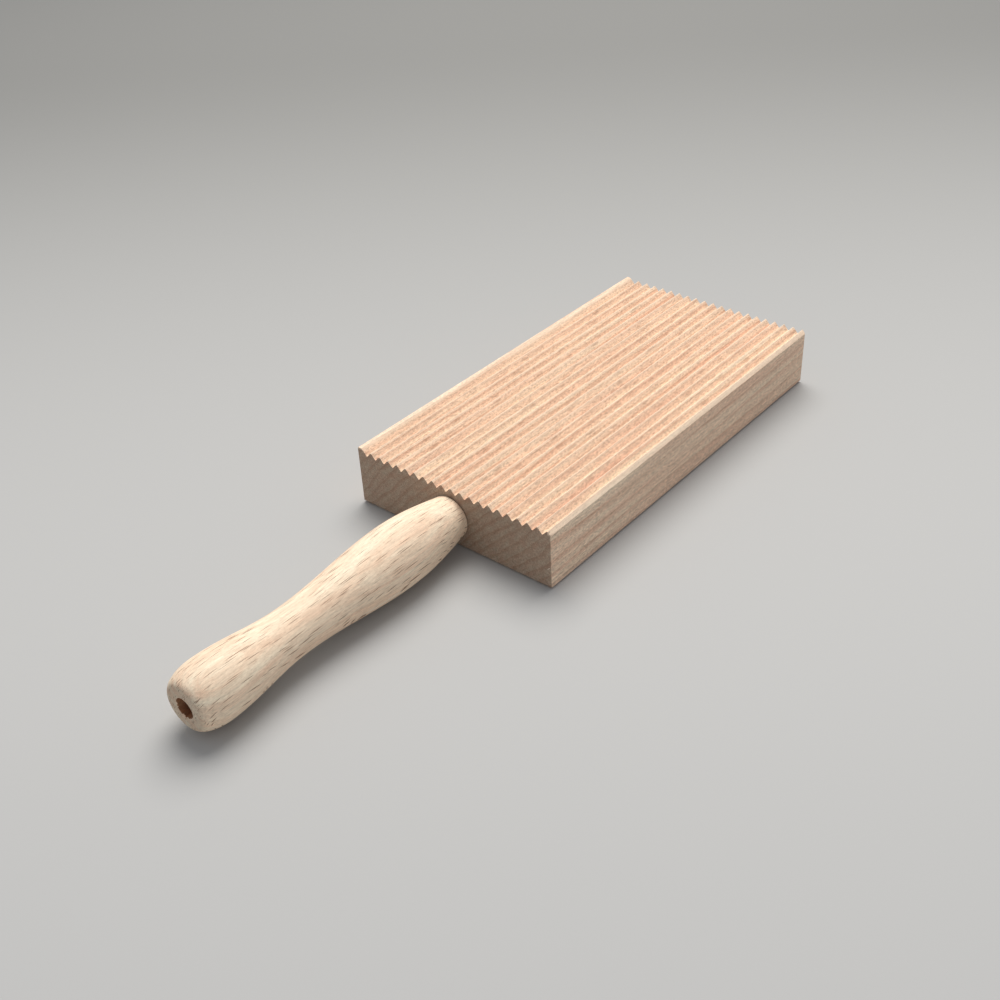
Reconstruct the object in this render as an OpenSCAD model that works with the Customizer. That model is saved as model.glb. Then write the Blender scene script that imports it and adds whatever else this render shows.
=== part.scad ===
// Gnocchi board: a beech block with V grooves along its top, and a turned
// beech handle held to the block's end grain by a glued dowel.
// The origin is at the centre of the block's underside. +X is across the
// grooves, +Y runs along them away from the handle, and +Z is up.

/* [Block] */
// Width of the block, across the grooves
board_w = 80; // [66:1:110]
// Length of the block, along the grooves
board_l = 154; // [120:1:220]
// Thickness of the planed stock, as left on the uncut margin
board_t = 22; // [20:0.5:30]
// Width of the bevel that eases the long edges and the bottom edges
arris = 0.8; // [0.3:0.1:1.5]
// Width of the bevel that eases the four upright corners
corner_arris = 0.4; // [0.2:0.1:1]

/* [Grooves] */
// Spacing of the grooves, from valley to valley
groove_pitch = 3.83; // [3:0.01:4.1]
// Depth of the V cutter below the planed face
groove_depth = 2.5; // [2.3:0.05:3]
// Included angle of the V cutter
groove_angle = 82; // [75:1:95]
// Distance from the left side of the block to the first valley
groove_margin = 4.1; // [3.5:0.1:10]

/* [Handle] */
// Length of the handle, from the block to the butt
handle_l = 108; // [96:1:140]
// Diameter of the handle just in front of the block
shoulder_d = 14.8; // [13:0.1:17]
// Radius that rounds the shoulder down to the face that seats on the block
shoulder_round = 1; // [0.5:0.1:1.5]
// Diameter of the palm swell
swell_d = 21; // [18:0.1:21.5]
// Distance from the block to the fullest part of the palm swell
swell_at = 26; // [20:1:36]
// Diameter of the waist
waist_d = 15.4; // [12:0.1:17]
// Distance from the block to the narrowest part of the waist
waist_at = 69; // [56:1:76]
// Diameter of the flared butt
flare_d = 20.2; // [17.5:0.1:21.5]
// Length of the rounded end, from the fullest part of the butt to its face
butt_round_l = 9.5; // [6:0.5:12]
// Diameter of the flat face on the butt
butt_face_d = 12.6; // [10:0.1:15]
// Gap between the handle's fullest part and the table under the block
table_clear = 0.5; // [0.3:0.1:1]

/* [Hanging hole] */
// Diameter of the hole drilled in the butt
butt_hole_d = 6.5; // [4.5:0.5:8]
// Depth of the hole drilled in the butt
butt_hole_depth = 16; // [10:1:25]

/* [Dowel] */
// Diameter of the dowel over its ribs
dowel_d = 8; // [6:0.5:9]
// Length of the dowel
dowel_l = 40; // [36:1:50]
// Length of the dowel that stands in the block
dowel_in_board = 20; // [15:1:25]
// Width of the bevel on the dowel's ends
dowel_bevel = 1; // [0.5:0.1:1.5]
// Number of glue flutes pressed along the dowel
flute_count = 16; // [8:2:24]
// Diameter of the round bottomed flutes
flute_d = 0.8; // [0.4:0.1:1]
// Glue film between the dowel and the wall of its bores
glue_film = 0.05; // [0.02:0.01:0.08]
// Free room for glue past each end of the dowel
glue_room = 1; // [0.5:0.5:2]

/* [Hidden] */
$fn = 96;

// How far a cutter runs past the face it starts from
over = 1;
// Number of straight facets in each stretch of the handle's outline
stretch_steps = 14;
// Number of straight facets in the small rounding of the shoulder
round_steps = 5;

front_y = -board_l / 2;
axis_z = max(swell_d, flare_d) / 2 + table_clear;
first_valley = groove_margin - board_w / 2;
groove_half_w = groove_depth * tan(groove_angle / 2);
dowel_in_handle = dowel_l - dowel_in_board;
dowel_bore_d = dowel_d + 2 * glue_film;

// Cosine curve from a to b, level at both ends, as u runs from 0 to 1
function ease(a, b, u) = a + (b - a) * (1 - cos(180 * u)) / 2;

// Outline of the handle as [radius, distance from the block]
function shoulder_arc() = [
  for (i = [0 : round_steps])
    let (a = 90 * i / round_steps)
    [shoulder_d / 2 - shoulder_round * (1 - sin(a)), shoulder_round * (1 - cos(a))]
];
function swell_rise() = [
  for (i = [1 : stretch_steps])
    let (u = i / stretch_steps)
    [
      shoulder_d / 2 + (swell_d - shoulder_d) / 2 * sin(90 * u),
      shoulder_round + (swell_at - shoulder_round) * u
    ]
];
function eased_stretch(from_d, from_at, to_d, to_at) = [
  for (i = [1 : stretch_steps])
    let (u = i / stretch_steps)
    [ease(from_d, to_d, u) / 2, from_at + (to_at - from_at) * u]
];
function butt_arc() = [
  for (i = [1 : stretch_steps])
    let (a = 90 * i / stretch_steps)
    [
      (butt_face_d + (flare_d - butt_face_d) * cos(a)) / 2,
      handle_l - butt_round_l * (1 - sin(a))
    ]
];
function handle_outline() = concat(
  [[0, 0]],
  shoulder_arc(),
  swell_rise(),
  eased_stretch(swell_d, swell_at, waist_d, waist_at),
  eased_stretch(waist_d, waist_at, flare_d, handle_l - butt_round_l),
  butt_arc(),
  [[0, handle_l]]
);

// Rectangle from [x, y] to the opposite corner, with a bevel on each corner
module bevelled_rectangle(w, h, bevel) {
  polygon([
    [bevel, 0], [w - bevel, 0], [w, bevel], [w, h - bevel],
    [w - bevel, h], [bevel, h], [0, h - bevel], [0, bevel]
  ]);
}

// Turns a shape that stands on the XY plane to lie along the handle's axis,
// starting at the block's front face and pointing at the butt
module on_handle_axis() {
  translate([0, front_y, axis_z]) rotate([90, 0, 0]) children();
}

// The planed block with its long, bottom and upright edges eased. The top
// edges of both ends stay sharp, as the cutter leaves them.
module planed_block() {
  intersection() {
    translate([-board_w / 2, board_l / 2, 0])
      rotate([90, 0, 0])
      linear_extrude(board_l)
      bevelled_rectangle(board_w, board_t, arris);
    translate([-board_w / 2, -board_l / 2, 0])
      linear_extrude(board_t)
      bevelled_rectangle(board_w, board_l, corner_arris);
    translate([-board_w / 2, -board_l / 2, 0])
      rotate([90, 0, 90])
      linear_extrude(board_w)
      bevelled_rectangle(board_l, board_t + arris, arris);
  }
}

// One pass of the V cutter, with its tip at the valley
module groove_cut() {
  cut_h = groove_depth + over;
  cut_half_w = cut_h * tan(groove_angle / 2);
  translate([0, board_l / 2 + over, board_t - groove_depth])
    rotate([90, 0, 0])
    linear_extrude(board_l + 2 * over)
    polygon([[0, 0], [cut_half_w, cut_h], [-cut_half_w, cut_h]]);
}

module board() {
  color("#d9b79b")
  difference() {
    planed_block();
    for (x = [first_valley : groove_pitch : board_w / 2 + groove_half_w / 2])
      translate([x, 0, 0]) groove_cut();
    on_handle_axis()
      translate([0, 0, -dowel_in_board - glue_room])
      cylinder(d = dowel_bore_d, h = dowel_in_board + glue_room + over);
  }
}

module handle() {
  color("#e6c9ad")
  on_handle_axis()
  difference() {
    rotate_extrude() polygon(handle_outline());
    translate([0, 0, -over])
      cylinder(d = dowel_bore_d, h = dowel_in_handle + glue_room + over);
    translate([0, 0, handle_l - butt_hole_depth])
      cylinder(d = butt_hole_d, h = butt_hole_depth + over);
  }
}

module dowel_pin() {
  color("#cfa97f")
  on_handle_axis()
  translate([0, 0, -dowel_in_board])
  difference() {
    rotate_extrude()
      polygon([
        [0, 0], [dowel_d / 2 - dowel_bevel, 0], [dowel_d / 2, dowel_bevel],
        [dowel_d / 2, dowel_l - dowel_bevel], [dowel_d / 2 - dowel_bevel, dowel_l], [0, dowel_l]
      ]);
    for (i = [1 : flute_count])
      rotate([0, 0, 360 * i / flute_count])
        translate([dowel_d / 2, 0, -over])
        cylinder(d = flute_d, h = dowel_l + 2 * over, $fn = 24);
  }
}

board();
handle();
dowel_pin();
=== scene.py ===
import math

import bmesh
import bpy
import numpy as np
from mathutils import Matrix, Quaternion, Vector


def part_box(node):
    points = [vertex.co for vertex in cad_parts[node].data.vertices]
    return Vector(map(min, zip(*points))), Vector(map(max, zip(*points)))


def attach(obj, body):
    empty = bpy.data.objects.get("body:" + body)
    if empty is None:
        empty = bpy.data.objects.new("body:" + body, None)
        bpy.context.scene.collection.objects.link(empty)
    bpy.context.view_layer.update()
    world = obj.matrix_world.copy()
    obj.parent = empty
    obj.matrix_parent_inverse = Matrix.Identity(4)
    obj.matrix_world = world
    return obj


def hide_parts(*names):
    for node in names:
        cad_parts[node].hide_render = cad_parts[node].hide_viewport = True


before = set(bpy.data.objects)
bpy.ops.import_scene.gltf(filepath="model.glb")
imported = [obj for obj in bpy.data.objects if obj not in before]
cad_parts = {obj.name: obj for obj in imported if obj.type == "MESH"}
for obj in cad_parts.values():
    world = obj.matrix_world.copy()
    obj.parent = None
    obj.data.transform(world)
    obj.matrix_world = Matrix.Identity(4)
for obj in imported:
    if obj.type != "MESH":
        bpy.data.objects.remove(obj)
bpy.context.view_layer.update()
MM = 0.001


# The camera stands to the right of the handle and looks down along the block,
# as someone sees it who is about to roll dough on it.
view_from_right = math.radians(41.22)
view_down = math.radians(35.11)
view_roll = math.radians(-3.17)
view_distance = 418.9 * MM
looked_at = Vector((7.2, -61.3, 11.0)) * MM

view_back = Vector((
    math.sin(view_from_right) * math.cos(view_down),
    -math.cos(view_from_right) * math.cos(view_down),
    math.sin(view_down),
))
camera = bpy.data.objects.new("camera", bpy.data.cameras.new("camera"))
camera.data.lens = 46.95
camera.data.sensor_width = 36.0
camera.data.clip_start = 0.01
camera.location = looked_at + view_back * view_distance
camera.rotation_mode = "QUATERNION"
camera.rotation_quaternion = (-view_back).to_track_quat("-Z", "Y") @ Quaternion((0, 0, 1), view_roll)
bpy.context.scene.collection.objects.link(camera)
bpy.context.scene.camera = camera
bpy.context.scene.view_settings.view_transform = "Standard"


# The table is a plain pale grey laminate, matt enough to hold only a soft
# shadow. It is drawn a little darker towards the back, which is painted shade
# where the lamp's light falls off. It isn't part of the object.
def linear(hex_colour):
    """An sRGB hex colour as linear red, green, blue and alpha."""
    parts = [int(hex_colour[i:i + 2], 16) / 255 for i in (1, 3, 5)]
    return (*[c / 12.92 if c <= 0.04045 else ((c + 0.055) / 1.055) ** 2.4 for c in parts], 1.0)


def node(tree, kind, links=None, **settings):
    """Adds a node. links maps an input to a socket or a value, and settings are the node's own."""
    made = tree.nodes.new(kind)
    for name, value in settings.items():
        setattr(made, name, value)
    for name, value in (links or {}).items():
        if isinstance(value, bpy.types.NodeSocket):
            tree.links.new(value, made.inputs[name])
        else:
            made.inputs[name].default_value = value
    return made


def new_material(name):
    """An empty material and its output node."""
    made = bpy.data.materials.new(name)
    made.use_nodes = True
    made.node_tree.nodes.clear()
    return made, node(made.node_tree, "ShaderNodeOutputMaterial")


def mesh_object(name, points, faces):
    """A mesh object at the origin, linked to the scene."""
    data = bpy.data.meshes.new(name)
    data.from_pydata([tuple(p) for p in points], [], [tuple(f) for f in faces])
    data.update()
    made = bpy.data.objects.new(name, data)
    bpy.context.scene.collection.objects.link(made)
    return made


# A Mix node has its colours on these sockets.
mix_factor, mix_first, mix_second, mix_result = 0, 6, 7, 2

table_half = 4.0
table_z = -0.05 * MM
to_the_back = (-0.66, 0.75, 0.0)
shade_start, shade_end = -0.15, 0.5
near_grey = "#b8b8b7"
far_painted_shade_grey = "#838381"

table = mesh_object(
    "table",
    [(-table_half, -table_half, table_z), (table_half, -table_half, table_z),
     (table_half, table_half, table_z), (-table_half, table_half, table_z)],
    [(0, 1, 2, 3)],
)
laminate, laminate_out = new_material("matt_grey_laminate")
tree = laminate.node_tree
table_place = node(tree, "ShaderNodeTexCoord")
how_far_back = node(tree, "ShaderNodeVectorMath", {
    0: table_place.outputs["Object"], 1: to_the_back,
}, operation="DOT_PRODUCT")
# Painted shade: the laminate's grey darkens towards the back, as the light falls off.
shaded = node(tree, "ShaderNodeMapRange", {
    "Value": how_far_back.outputs["Value"], "From Min": shade_start, "From Max": shade_end,
}, interpolation_type="SMOOTHSTEP")
grey = node(tree, "ShaderNodeMix", {
    mix_factor: shaded.outputs["Result"], mix_first: linear(near_grey), mix_second: linear(far_painted_shade_grey),
}, data_type="RGBA")
shader = node(tree, "ShaderNodeBsdfPrincipled", {
    "Base Color": grey.outputs[mix_result], "Roughness": 0.8, "Specular IOR Level": 0.2,
})
tree.links.new(shader.outputs["BSDF"], laminate_out.inputs["Surface"])
table.data.materials.append(laminate)


# Soft studio light: one broad, slightly warm lamp high up behind the left of
# the block, and an even pale room all round.
world = bpy.data.worlds.new("even_room")
world.use_nodes = True
room = world.node_tree.nodes["Background"]
room.inputs["Color"].default_value = linear("#f5f9ff")
room.inputs["Strength"].default_value = 0.44
bpy.context.scene.world = world

lamp = bpy.data.objects.new("broad_lamp", bpy.data.lights.new("broad_lamp", "AREA"))
lamp.data.shape = "DISK"
lamp.data.size = 1.15
lamp.data.energy = 20.0
lamp.data.color = (1.0, 0.965, 0.92)
lamp.location = (-0.3, 0.46, 1.15)
lamp_aim = Vector((0, -0.03, 0))
lamp.rotation_mode = "QUATERNION"
lamp.rotation_quaternion = (lamp_aim - lamp.location).to_track_quat("-Z", "Y")
bpy.context.scene.collection.objects.link(lamp)


# The block is one piece of steamed beech, planed square, with eased edges. A
# gang of V cutters has run along its top and left the crests a little blunt
# and worn. The bore for the dowel is drilled into its front end.
block_low, block_high = (Vector(c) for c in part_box("board"))
left, right = block_low.x, block_high.x
front, back = block_low.y, block_high.y
block_t = block_high.z
top_round = 0.8 * MM
bottom_bevel = 0.8 * MM
end_round = 0.35 * MM
groove_pitch = 3.83 * MM
groove_depth = 2.5 * MM
cutter_slope = math.tan(math.radians(41))
first_valley = left + 4.1 * MM
groove_total = int((right + groove_depth * cutter_slope / 2 - first_valley) / groove_pitch) + 1
crest_z = block_t - groove_depth + groove_pitch / 2 / cutter_slope

# How far the crests are worn down and torn at their ends, and how far they
# wander sideways.
crest_wear_depth = 0.13 * MM
crest_wear_height = 0.7 * MM
end_tear_depth = 0.22 * MM
end_tear_reach = 0.7 * MM
crest_wander = 0.07 * MM
wear_rows, wander_rows = 2, 9

# How finely the mesh is divided.
steps_per_groove = 16
steps_round = 4
steps_up_side = 8
steps_across_bottom = 20
rows_along = 150
end_steps = [0.0, 0.06 * MM, 0.2 * MM, 0.4 * MM, bottom_bevel]
first_even_row = 1.2 * MM
bore_sides = 48


def groove_height(x):
    """Height of the freshly cut top at x."""
    nearest = round((x - first_valley) / groove_pitch)
    nearest = min(max(nearest, 0), groove_total - 1)
    away = abs(x - first_valley - nearest * groove_pitch)
    return min(block_t, block_t - groove_depth + away / cutter_slope)


def blunt_groove_height(x):
    """Height of the top at x, with crests and valleys as blunt as fibrous wood leaves them."""
    reach = 0.11 * MM
    taps = [-1.0, -0.5, 0.0, 0.5, 1.0]
    return sum(groove_height(x + reach * t) for t in taps) / len(taps)


# The outline of the end face as (x, z), from the left bottom edge up, over the
# grooves, down the right side and back along the bottom.
outline = [(left + bottom_bevel, 0.0), (left, bottom_bevel)]
outline += [(left, z) for z in np.linspace(bottom_bevel, block_t - top_round, steps_up_side)[1:-1]]
for i in range(steps_round + 1):
    turn = math.pi / 2 * i / steps_round
    outline.append((
        left + top_round * (1 - math.cos(turn)),
        block_t - top_round * (1 - math.sin(turn)),
    ))
groove_step = groove_pitch / steps_per_groove
x = left + top_round + groove_step
while x < right - groove_step / 2:
    outline.append((x, blunt_groove_height(x)))
    x += groove_step
right_edge_z = groove_height(right)
outline.append((right, right_edge_z))
outline += [(right, z) for z in np.linspace(right_edge_z, bottom_bevel, steps_up_side)[1:-1]]
outline += [(right, bottom_bevel), (right - bottom_bevel, 0.0)]
bottom_xs = np.linspace(right - bottom_bevel, left + bottom_bevel, steps_across_bottom)[1:-1]
outline += [(x, 0.0) for x in bottom_xs]
outline = np.array(outline)

row_y = [front + step for step in end_steps]
row_y += list(np.linspace(front + first_even_row, back - first_even_row, rows_along))
row_y += [back - step for step in reversed(end_steps)]
row_y = np.array(row_y)

# The cut top is the part of the outline that wears. Each of its points follows
# the wear of the nearest crest, and points low on a flank don't move.
below_valleys, left_strip, right_strip = 0.5 * MM, 1.5 * MM, 0.5 * MM
in_grooves = outline[:, 1] > block_t - groove_depth - below_valleys
in_grooves &= (outline[:, 0] > left + left_strip) & (outline[:, 0] < right - right_strip)
crest_of_point = np.round((outline[:, 0] - first_valley) / groove_pitch + 0.5)
crest_of_point = np.clip(crest_of_point, 0, groove_total + 1).astype(int)
near_crest = np.clip((outline[:, 1] - crest_z + crest_wear_height) / crest_wear_height, 0, 1)

draw = np.random.default_rng(7)


def smooth_noise(rows, columns, reach):
    """Seeded noise that is smooth down the rows over the given reach, from -1 to 1."""
    raw = draw.standard_normal((rows + 4 * reach, columns))
    window = np.hanning(2 * reach + 1)
    window /= np.sqrt((window ** 2).sum())
    smooth = np.apply_along_axis(lambda v: np.convolve(v, window, "same"), 0, raw)
    highest = 2.5
    return np.clip(smooth[2 * reach:2 * reach + rows] / highest, -1, 1)


crest_wear = np.abs(smooth_noise(len(row_y), groove_total + 2, wear_rows)) * crest_wear_depth
wander = smooth_noise(len(row_y), groove_total + 2, wander_rows) * crest_wander
from_ends = np.minimum(row_y - front, back - row_y)
end_tear = np.exp(-from_ends / end_tear_reach)[:, None] * draw.random((1, groove_total + 2)) * end_tear_depth
least_tear = 0.6
crest_wear = crest_wear + end_tear * (least_tear + (1 - least_tear) * draw.random(crest_wear.shape))

block_points = []
for i, y in enumerate(row_y):
    short = max(0.0, end_round - from_ends[i])
    inset = end_round - math.sqrt(end_round ** 2 - short ** 2)
    lift = max(0.0, bottom_bevel - from_ends[i])
    xs = np.where(in_grooves, outline[:, 0] + wander[i, crest_of_point] * near_crest, outline[:, 0])
    zs = np.where(in_grooves, outline[:, 1] - crest_wear[i, crest_of_point] * near_crest, outline[:, 1])
    xs = np.clip(xs, left + inset, right - inset)
    block_points.append(np.column_stack([xs, np.full_like(xs, y), np.maximum(zs, lift)]))
count = len(outline)
block_faces = [
    (i * count + j, i * count + (j + 1) % count, (i + 1) * count + (j + 1) % count, (i + 1) * count + j)
    for i in range(len(row_y) - 1) for j in range(count)
]
board = mesh_object("board_block", np.concatenate(block_points), block_faces)

# The two end faces are filled in, and the front one is left open at the bore.
# The bore is wider than the dowel by a film of glue and deeper by some room.
dowel_low, dowel_high = (Vector(c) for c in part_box("dowel_pin"))
glue_film = 0.05 * MM
glue_room = 1.0 * MM
axis_z = (dowel_low.z + dowel_high.z) / 2
bore_r = (dowel_high.z - dowel_low.z) / 2 + glue_film
same_point = 1e-7

shape = bmesh.new()
shape.from_mesh(board.data)
bmesh.ops.remove_doubles(shape, verts=shape.verts, dist=same_point)
front_edges = [e for e in shape.edges if e.is_boundary and e.verts[0].co.y < 0]
back_edges = [e for e in shape.edges if e.is_boundary and e.verts[0].co.y > 0]
turns = [2 * math.pi * k / bore_sides for k in range(bore_sides)]
mouth, bottom = [
    [shape.verts.new((bore_r * math.cos(a), y, axis_z + bore_r * math.sin(a))) for a in turns]
    for y in (front, dowel_high.y + glue_room)
]
for k in range(bore_sides):
    n = (k + 1) % bore_sides
    shape.faces.new((mouth[k], mouth[n], bottom[n], bottom[k]))
    front_edges.append(shape.edges.get((mouth[k], mouth[n])))
shape.faces.new(bottom)
bmesh.ops.triangle_fill(shape, use_beauty=True, edges=front_edges)
bmesh.ops.triangle_fill(shape, use_beauty=True, edges=back_edges)
bmesh.ops.triangulate(shape, faces=[f for f in shape.faces if len(f.verts) > 4])
bmesh.ops.recalc_face_normals(shape, faces=shape.faces)
shape.to_mesh(board.data)
shape.free()


def smooth_by_angle(piece):
    """Smooth shading that keeps the piece's sharp edges hard."""
    sharp_from = math.radians(40)
    for face in piece.data.polygons:
        face.use_smooth = True
    piece.data.set_sharp_from_angle(angle=sharp_from)


smooth_by_angle(board)


# Beech is pale pinkish tan with thin growth rings, short dark ray flecks and
# fine pores. It is bare, so it is matt, and its end grain looks darker; the end
# faces are drawn darker still, which is painted shade. IOR and
# roughness are those of sanded wood.
def beech(name, colours, ring_turn, ring_strength, ray_size, ray_strength,
          pore_strength, speckle_strength, end_grain_and_shade, crests=None):
    """Beech whose grain runs along Y. ring_turn turns the direction across its rings about Y."""
    made, output = new_material(name)
    tree = made.node_tree
    place = node(tree, "ShaderNodeTexCoord")
    object_place = node(tree, "ShaderNodeSeparateXYZ", {"Vector": place.outputs["Object"]})
    grain = node(tree, "ShaderNodeMapping", {
        "Vector": place.outputs["Object"], "Rotation": (0, math.radians(ring_turn), 0),
    })
    grain_place = node(tree, "ShaderNodeSeparateXYZ", {"Vector": grain.outputs["Vector"]})

    # Sizes in millimetres: along the rings, along the grain and across the
    # rings. A ray fleck fills a third of its cell, so it is 0.12 to 0.2 mm wide
    # and 3 to 6 mm long, as large as beech rays get. Fibres, pores and speckle
    # are under 0.1 mm wide in real beech, and are drawn 0.45 to 0.6 mm wide,
    # because they wouldn't show otherwise.
    pattern_sizes = {
        "streaks": (3.6, 80.0, 1.7),
        "fibres": (0.45, 10.0, 0.45),
        "speckle": (0.5, 1.3, 0.5),
        "rays": ray_size,
        "larger_rays": [1.35 * size for size in ray_size],
        "pores": (0.6, 1.7, 0.6),
        "ring_wander": (24.0, 160.0, 11.0),
    }
    at = {}
    for pattern, sizes in pattern_sizes.items():
        at[pattern] = node(tree, "ShaderNodeMapping", {
            "Vector": grain.outputs["Vector"], "Scale": [1 / (size * MM) for size in sizes],
        }).outputs["Vector"]
    streaks = node(tree, "ShaderNodeTexNoise", {
        "Vector": at["streaks"], "Scale": 1.0, "Detail": 3.0, "Roughness": 0.6,
    })
    fibres = node(tree, "ShaderNodeTexNoise", {
        "Vector": at["fibres"], "Scale": 1.0, "Detail": 3.0, "Roughness": 0.7,
    })
    speckle = node(tree, "ShaderNodeTexNoise", {
        "Vector": at["speckle"], "Scale": 1.0, "Detail": 3.0, "Roughness": 0.8,
    })
    ring_wander = node(tree, "ShaderNodeTexNoise", {
        "Vector": at["ring_wander"], "Scale": 1.0, "Detail": 2.0,
    })
    rays = node(tree, "ShaderNodeTexVoronoi", {
        "Vector": at["rays"], "Scale": 1.0, "Randomness": 0.9,
    })
    larger_rays = node(tree, "ShaderNodeTexVoronoi", {
        "Vector": at["larger_rays"], "Scale": 1.0, "Randomness": 0.9,
    })
    pores = node(tree, "ShaderNodeTexVoronoi", {"Vector": at["pores"], "Scale": 1.0})

    # Growth rings repeat across the grain and wander. The last third of each
    # ring is its darker late wood.
    ring_width = 3.3 * MM
    wander_reach = 7.0 * MM
    ring_place = node(tree, "ShaderNodeMath", {
        0: ring_wander.outputs["Fac"], 1: wander_reach, 2: grain_place.outputs["Z"],
    }, operation="MULTIPLY_ADD")
    ring_phase = node(tree, "ShaderNodeMath", {
        0: ring_place.outputs["Value"], 1: ring_width, 2: 0.0,
    }, operation="WRAP")
    late_wood = node(tree, "ShaderNodeMapRange", {
        "Value": ring_phase.outputs["Value"], "From Min": 0.62 * ring_width,
        "From Max": 0.97 * ring_width, "To Max": ring_strength,
    })

    # Pale and warm streaks, then the rings, then light and dark fibres.
    streak_mix = node(tree, "ShaderNodeMapRange", {
        "Value": streaks.outputs["Fac"], "From Min": 0.3, "From Max": 0.66,
    })
    wood = node(tree, "ShaderNodeMix", {
        mix_factor: streak_mix.outputs["Result"],
        mix_first: linear(colours["pale"]), mix_second: linear(colours["warm"]),
    }, data_type="RGBA")
    wood = node(tree, "ShaderNodeMix", {
        mix_factor: late_wood.outputs["Result"],
        mix_first: wood.outputs[mix_result], mix_second: linear(colours["ring"]),
    }, data_type="RGBA")
    fibre_light = node(tree, "ShaderNodeMapRange", {
        "Value": fibres.outputs["Fac"], "From Min": 0.3, "From Max": 0.7,
        "To Min": 0.82, "To Max": 1.12,
    })
    wood = node(tree, "ShaderNodeVectorMath", {
        0: wood.outputs[mix_result], "Scale": fibre_light.outputs["Result"],
    }, operation="SCALE")
    speckle_light = node(tree, "ShaderNodeMapRange", {
        "Value": speckle.outputs["Fac"], "From Min": 0.32, "From Max": 0.68,
        "To Min": 1.0 - speckle_strength, "To Max": 1.0 + speckle_strength * 0.6,
    })
    wood = node(tree, "ShaderNodeVectorMath", {
        0: wood.outputs["Vector"], "Scale": speckle_light.outputs["Result"],
    }, operation="SCALE")

    # Ray flecks and pores are the dark middles of stretched cells.
    ray_marks = node(tree, "ShaderNodeMapRange", {
        "Value": rays.outputs["Distance"], "From Min": 0.11, "From Max": 0.22,
        "To Min": ray_strength, "To Max": 0.0,
    })
    larger_ray_marks = node(tree, "ShaderNodeMapRange", {
        "Value": larger_rays.outputs["Distance"], "From Min": 0.1, "From Max": 0.2,
        "To Min": ray_strength, "To Max": 0.0,
    })
    pore_marks = node(tree, "ShaderNodeMapRange", {
        "Value": pores.outputs["Distance"], "From Min": 0.16, "From Max": 0.34,
        "To Min": pore_strength, "To Max": 0.0,
    })
    marks = node(tree, "ShaderNodeMath", {
        0: ray_marks.outputs["Result"], 1: larger_ray_marks.outputs["Result"],
    }, operation="MAXIMUM")
    marks = node(tree, "ShaderNodeMath", {
        0: marks.outputs["Value"], 1: pore_marks.outputs["Result"],
    }, operation="MAXIMUM")
    wood = node(tree, "ShaderNodeMix", {
        mix_factor: marks.outputs["Value"],
        mix_first: wood.outputs["Vector"], mix_second: linear(colours["fleck"]),
    }, data_type="RGBA")

    # End grain faces along Y and is drawn darker: partly the end grain's own darker look and partly painted
    # shade on the end faces.
    facing = node(tree, "ShaderNodeSeparateXYZ", {"Vector": place.outputs["Normal"]})
    facing = node(tree, "ShaderNodeMath", {0: facing.outputs["Y"]}, operation="ABSOLUTE")
    end_light = node(tree, "ShaderNodeMapRange", {
        "Value": facing.outputs["Value"], "From Min": 0.55, "From Max": 0.95,
        "To Min": 1.0, "To Max": end_grain_and_shade,
    })
    wood = node(tree, "ShaderNodeVectorMath", {
        0: wood.outputs[mix_result], "Scale": end_light.outputs["Result"],
    }, operation="SCALE")
    wood = wood.outputs["Vector"]

    if crests:
        # The crests are drawn paler: partly the paler colour of fibres standing up on
        # them and partly painted highlight where the rounded crests catch the light,
        # less on the uncut strip above them. The flank that runs off the right side is
        # drawn paler too, which is painted light.
        rise = node(tree, "ShaderNodeMapRange", {
            "Value": object_place.outputs["Z"], "From Min": crests["start"], "From Max": crests["full"],
            "To Max": 0.8,
        })
        fall = node(tree, "ShaderNodeMapRange", {
            "Value": object_place.outputs["Z"], "From Min": crests["top"], "From Max": crests["uncut"],
            "To Min": 1.0, "To Max": 0.3,
        })
        patchy = node(tree, "ShaderNodeMapRange", {
            "Value": fibres.outputs["Fac"], "From Min": 0.35, "From Max": 0.6,
            "To Min": 0.45, "To Max": 1.0,
        })
        past_crest = node(tree, "ShaderNodeMapRange", {
            "Value": object_place.outputs["X"], "From Min": crests["flank_x"],
            "From Max": crests["flank_x"] + 0.15 * MM, "To Max": 0.5,
        })
        above_side = node(tree, "ShaderNodeMapRange", {
            "Value": object_place.outputs["Z"], "From Min": crests["flank_z"],
            "From Max": crests["flank_z"] + 0.06 * MM,
        })
        on_crest = node(tree, "ShaderNodeMath", {
            0: rise.outputs["Result"], 1: fall.outputs["Result"],
        }, operation="MULTIPLY")
        on_crest = node(tree, "ShaderNodeMath", {
            0: on_crest.outputs["Value"], 1: patchy.outputs["Result"],
        }, operation="MULTIPLY")
        # Painted light on the flank that runs off the right side.
        painted_flank_light = node(tree, "ShaderNodeMath", {
            0: past_crest.outputs["Result"], 1: above_side.outputs["Result"],
        }, operation="MULTIPLY")
        pale_fibres_and_highlight = node(tree, "ShaderNodeMath", {
            0: on_crest.outputs["Value"], 1: painted_flank_light.outputs["Value"],
        }, operation="MAXIMUM")
        # Mixes in the paler colour of standing fibres together with painted highlight.
        wood = node(tree, "ShaderNodeMix", {
            mix_factor: pale_fibres_and_highlight.outputs["Value"], mix_first: wood, mix_second: linear(colours["pale_fibres_and_highlight"]),
        }, data_type="RGBA")
        wood = wood.outputs[mix_result]

    relief = node(tree, "ShaderNodeMath", {
        0: speckle.outputs["Fac"], 1: marks.outputs["Value"],
    }, operation="SUBTRACT")
    bump = node(tree, "ShaderNodeBump", {
        "Height": relief.outputs["Value"], "Strength": 0.45, "Distance": 0.1 * MM,
    })
    shader = node(tree, "ShaderNodeBsdfPrincipled", {
        "Base Color": wood, "Roughness": 0.7, "IOR": 1.5, "Specular IOR Level": 0.3,
        "Normal": bump.outputs["Normal"],
    })
    tree.links.new(shader.outputs["BSDF"], output.inputs["Surface"])
    return made


# The crest colour is the pale of standing fibres together with painted highlight on the crests and the right
# flank.
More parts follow.
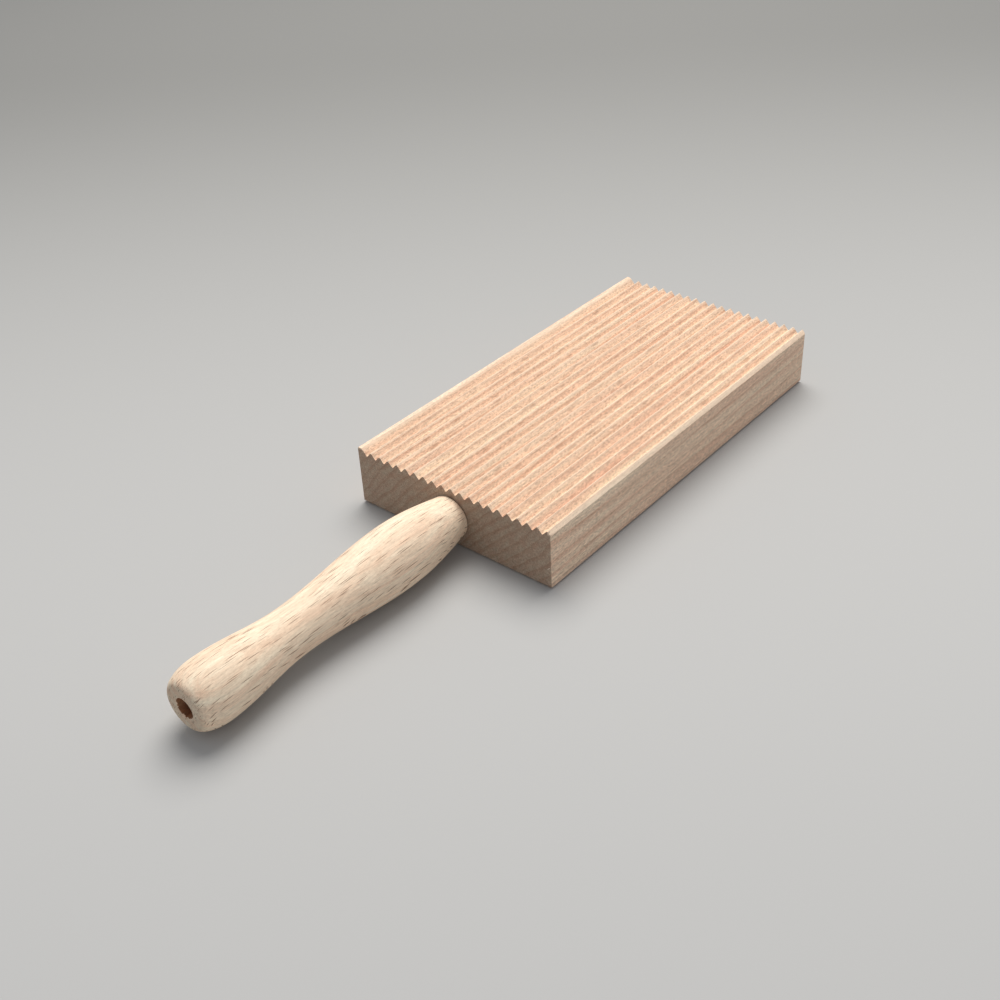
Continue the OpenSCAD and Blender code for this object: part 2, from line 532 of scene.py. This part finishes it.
board.data.materials.append(beech(
    "steamed_beech_block",
    {"pale": "#f9e2c6", "warm": "#f2ccb0", "ring": "#d3a183", "fleck": "#8e624a", "pale_fibres_and_highlight": "#ffe9cf"},
    ring_turn=45, ring_strength=0.45, ray_size=(0.45, 10.0, 3.0), ray_strength=0.3,
    pore_strength=0.32, speckle_strength=0.3, end_grain_and_shade=0.5,
    crests={
        "start": crest_z - 0.55 * MM, "full": crest_z - 0.15 * MM,
        "top": crest_z + 0.05 * MM, "uncut": crest_z + 0.2 * MM,
        "flank_x": right - 1.3 * MM, "flank_z": right_edge_z + 0.01 * MM,
    },
))
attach(board, "root")
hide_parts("board")


# Torn fibres of the block: short slivers that the cutter pulled up and left
# standing at the ends of the crests, and one splinter on the upright edge at
# the front right.
fibres_at_end = (1, 4)
torn_crests = (2, 3)
more_on_torn_crests = 2
root_aside = (-0.3, 0.3)
root_from_end = (0.5, 1.6)
root_below_crest = (0.6, 0.9)
tip_aside = (-0.35, 0.35)
tip_past_end = (-0.1, 0.7)
tip_above_crest = (-0.5, 0.25)
fibre_thickness = (0.2, 0.36)
splinter_z = 7.7 * MM
splinter_thickness = 0.4 * MM

fibre_points = []
fibre_faces = []


def add_sliver(root, tip, thickness):
    """Adds one tapered three-sided sliver from root to tip, bent a little upwards."""
    root, tip = Vector(root), Vector(tip)
    along = (tip - root).normalized()
    across = along.cross(Vector((0, 0, 1))).normalized()
    upright = across.cross(along)
    middle = root.lerp(tip, 0.55) + upright * thickness * 0.5
    start = len(fibre_points)
    for centre, radius in ((root, thickness / 2), (middle, thickness / 3)):
        for k in range(3):
            a = 2 * math.pi * k / 3 + math.pi / 2
            fibre_points.append(centre + (across * math.cos(a) + upright * math.sin(a)) * radius)
    fibre_points.append(tip)
    for k in range(3):
        n = (k + 1) % 3
        fibre_faces.append((start + k, start + n, start + 3 + n, start + 3 + k))
        fibre_faces.append((start + 3 + k, start + 3 + n, start + 6))
    fibre_faces.append((start + 2, start + 1, start))


def turn_faces_outwards(piece):
    """Makes the faces of a closed piece face outwards."""
    shape = bmesh.new()
    shape.from_mesh(piece.data)
    bmesh.ops.recalc_face_normals(shape, faces=shape.faces)
    shape.to_mesh(piece.data)
    shape.free()


for crest in range(groove_total - 1):
    crest_x = first_valley + (crest + 0.5) * groove_pitch
    for end_y, outward in ((front, -1), (back, 1)):
        fibre_total = int(draw.integers(*fibres_at_end))
        if crest in torn_crests:
            fibre_total += more_on_torn_crests
        for _ in range(fibre_total):
            root = (
                crest_x + draw.uniform(*root_aside) * MM,
                end_y - outward * draw.uniform(*root_from_end) * MM,
                crest_z - draw.uniform(*root_below_crest) * MM,
            )
            tip = (
                root[0] + draw.uniform(*tip_aside) * MM,
                end_y + outward * draw.uniform(*tip_past_end) * MM,
                crest_z + draw.uniform(*tip_above_crest) * MM,
            )
            add_sliver(root, tip, draw.uniform(*fibre_thickness) * MM)
add_sliver(
    (right - 0.5 * MM, front + 0.6 * MM, splinter_z),
    (right - 1.0 * MM, front - 0.9 * MM, splinter_z + 0.1 * MM),
    splinter_thickness,
)
torn_fibres = mesh_object("torn_fibres", fibre_points, fibre_faces)
turn_faces_outwards(torn_fibres)
# The slivers are drawn near white: partly the paleness of loose, torn fibres and partly painted highlight.
torn_fibres.data.materials.append(beech(
    "torn_beech_fibre",
    {"pale": "#fdf1de", "warm": "#fbe6cf", "ring": "#f3d5b8", "fleck": "#e8c4a4"},
    ring_turn=45, ring_strength=0.2, ray_size=(0.5, 11.0, 3.0), ray_strength=0.1,
    pore_strength=0.05, speckle_strength=0.05, end_grain_and_shade=1.0,
))
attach(torn_fibres, "root")


# The handle is turned from a paler beech on a copying lathe and sanded. It has
# a palm swell, a waist and a flared butt. A hole is drilled in the butt, which
# chipped its rim a little. The wall of the hole is drawn in a darker brown beech.
handle_low, handle_high = (Vector(c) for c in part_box("handle"))
handle_l = handle_high.y - handle_low.y
swell_r = (handle_high.x - handle_low.x) / 2
swell_at = 26 * MM
shoulder_r = 7.4 * MM
shoulder_round = 1.0 * MM
waist_r = 7.7 * MM
waist_at = 69 * MM
flare_r = 10.1 * MM
flare_at = handle_l - 9.5 * MM
butt_face_r = 6.3 * MM
hole_r = 3.25 * MM
hole_depth = 16 * MM
rim_chip = 0.5 * MM
socket_depth = front - dowel_low.y + glue_room
around = 128
stretch_steps = 40
shoulder_steps = 6

# The outline as (radius, distance from the block): the socket for the dowel,
# the shoulder, the swell, the waist, the flare, the butt and the hole.
profile = [(0.0, socket_depth), (bore_r, socket_depth), (bore_r, 0.0)]
for i in range(shoulder_steps + 1):
    turn = math.pi / 2 * i / shoulder_steps
    profile.append((
        shoulder_r - shoulder_round * (1 - math.sin(turn)),
        shoulder_round * (1 - math.cos(turn)),
    ))
for i in range(1, stretch_steps + 1):
    u = i / stretch_steps
    profile.append((
        shoulder_r + (swell_r - shoulder_r) * math.sin(math.pi / 2 * u),
        shoulder_round + (swell_at - shoulder_round) * u,
    ))
for from_r, from_at, to_r, to_at in (
    (swell_r, swell_at, waist_r, waist_at),
    (waist_r, waist_at, flare_r, flare_at),
):
    for i in range(1, stretch_steps + 1):
        u = i / stretch_steps
        eased = (1 - math.cos(math.pi * u)) / 2
        profile.append((from_r + (to_r - from_r) * eased, from_at + (to_at - from_at) * u))
for i in range(1, stretch_steps + 1):
    turn = math.pi / 2 * i / stretch_steps
    profile.append((
        butt_face_r + (flare_r - butt_face_r) * math.cos(turn),
        flare_at + (handle_l - flare_at) * math.sin(turn),
    ))
profile += [
    (hole_r + 0.3 * MM, handle_l),
    (hole_r + 0.1 * MM, handle_l - 0.12 * MM),
    (hole_r, handle_l - 0.4 * MM),
]
profile += [(hole_r, handle_l - hole_depth * u) for u in (0.2, 0.4, 0.6, 0.8, 1.0)]
profile.append((0.0, handle_l - hole_depth))

# The rim is chipped where the smoothed noise round it is high.
chip_window = np.hanning(5) / 2.0
chip_start = 0.35
chips = np.convolve(np.tile(draw.random(around), 3), chip_window, "same")[around:2 * around]
chips = np.clip(chips - chip_start, 0, None) ** 1.5

turned_points = []
turned_faces = []
ring_start = []
for r, along in profile:
    ring_start.append(len(turned_points))
    if r == 0.0:
        turned_points.append((0.0, front - along, axis_z))
        continue
    at_rim = r <= hole_r + 0.31 * MM and along > handle_l - 0.5 * MM
    for k in range(around):
        a = 2 * math.pi * k / around
        chipped_r = r + (chips[k] * rim_chip if at_rim else 0.0)
        turned_points.append((chipped_r * math.cos(a), front - along, axis_z + chipped_r * math.sin(a)))
for i in range(len(profile) - 1):
    first, second = ring_start[i], ring_start[i + 1]
    for k in range(around):
        n = (k + 1) % around
        if profile[i][0] == 0.0:
            turned_faces.append((first, second + n, second + k))
        elif profile[i + 1][0] == 0.0:
            turned_faces.append((first + k, first + n, second))
        else:
            turned_faces.append((first + k, first + n, second + n, second + k))
handle = mesh_object("turned_handle", turned_points, turned_faces)
turn_faces_outwards(handle)
smooth_by_angle(handle)
handle.data.materials.append(beech(
    "pale_beech_handle",
    {"pale": "#feeed3", "warm": "#f6d6b9", "ring": "#e2b797", "fleck": "#74482e"},
    ring_turn=-30, ring_strength=0.2, ray_size=(0.36, 14.0, 3.4), ray_strength=0.88,
    pore_strength=0.12, speckle_strength=0.1, end_grain_and_shade=0.72,
))
handle.data.materials.append(beech(
    "drilled_beech_wall",
    {"pale": "#b98a66", "warm": "#94603f", "ring": "#7c4c31", "fleck": "#5a3522"},
    ring_turn=-30, ring_strength=0.3, ray_size=(0.5, 11.0, 5.0), ray_strength=0.5,
    pore_strength=0.2, speckle_strength=0.2, end_grain_and_shade=0.7,
))
wall_reach = hole_r + 0.1 * MM
wall_back = front - handle_l + hole_depth + 0.5 * MM
for face in handle.data.polygons:
    off_axis = math.hypot(face.center.x, face.center.z - axis_z)
    if off_axis < wall_reach and face.center.y < wall_back:
        face.material_index = 1
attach(handle, "root")
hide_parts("handle")


# The dowel is a length of fluted beech rod, glued half in the block and half
# in the handle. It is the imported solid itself, hidden inside the joint.
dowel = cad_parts["dowel_pin"]
dowel_rod = beech(
    "beech_dowel_rod",
    {"pale": "#e6c49c", "warm": "#d2a478", "ring": "#c09068", "fleck": "#8d6648"},
    ring_turn=10, ring_strength=0.3, ray_size=(0.5, 11.0, 8.0), ray_strength=0.5,
    pore_strength=0.2, speckle_strength=0.08, end_grain_and_shade=0.7,
)
for slot in dowel.material_slots:
    slot.material = dowel_rod
